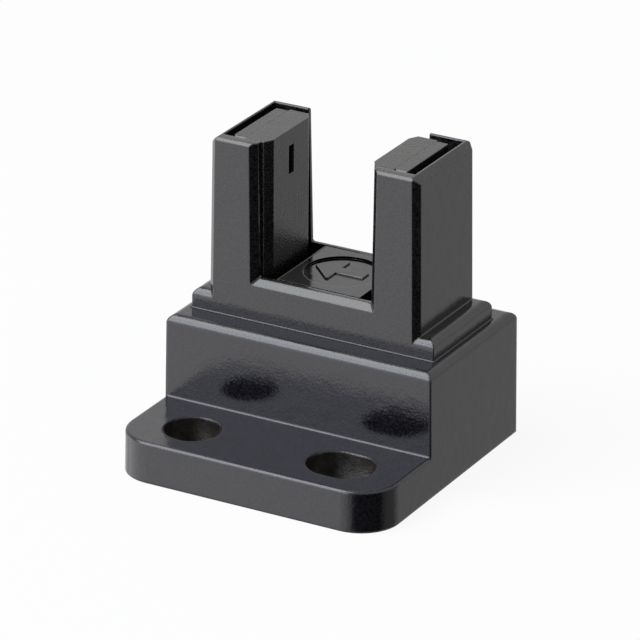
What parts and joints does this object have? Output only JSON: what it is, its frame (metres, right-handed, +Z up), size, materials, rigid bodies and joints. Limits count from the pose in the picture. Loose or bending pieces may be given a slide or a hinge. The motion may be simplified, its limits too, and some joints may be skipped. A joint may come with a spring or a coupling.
{
  "type": "slotted optical switch",
  "caption": "Slotted optical switch: two towers face each other across an open slot on a hollow base, with a flange for screws and a rear socket.",
  "frame": {"origin": "middle of the mounting face, on the underside of the base", "axes": "+Z up out of the mounting face; X across the slot, from the emitter tower (-X) to the detector tower (+X); Y through the slot, from the flange (-Y) to the rear socket (+Y)"},
  "size_m": [0.023, 0.0222, 0.0244],
  "materials": {
    "base_plastic": "charcoal moulded, semi-gloss",
    "case_plastic": "charcoal moulded, semi-gloss",
    "holder_plastic": "charcoal moulded, fine grain",
    "floor_plastic": "charcoal moulded, gloss",
    "cover_plastic": "charcoal moulded, fine grain",
    "emitter_epoxy": "clear bluish epoxy",
    "detector_epoxy": "dark infrared-passing epoxy",
    "tinned_lead": "tinned",
    "board_laminate": "green solder mask",
    "header_plastic": "natural nylon, satin",
    "header_contact": "gold-plated",
    "chip_ceramic": "fired ceramic",
    "transistor_body": "black moulded"
  },
  "bodies": {
    "root": {"base_housing": "base_plastic", "slot_case": "case_plastic", "emitter_holder": "holder_plastic", "emitter_cap": "holder_plastic", "emitter_element": "emitter_epoxy", "emitter_anode_lead": "tinned_lead", "emitter_cathode_lead": "tinned_lead", "detector_holder": "holder_plastic", "detector_cap": "holder_plastic", "detector_element": "detector_epoxy", "detector_collector_lead": "tinned_lead", "detector_output_lead": "tinned_lead", "slot_floor": "floor_plastic", "circuit_board": "board_laminate", "header_shroud": "header_plastic", "header_pin_1": "header_contact", "header_pin_2": "header_contact", "header_pin_3": "header_contact", "bottom_cover": "cover_plastic", "emitter_resistor": "chip_ceramic", "supply_capacitor": "chip_ceramic", "output_resistor": "chip_ceramic", "output_transistor": "transistor_body", "transistor_base_lead": "tinned_lead", "transistor_emitter_lead": "tinned_lead", "transistor_collector_lead": "tinned_lead"}
  },
  "joints": []
}
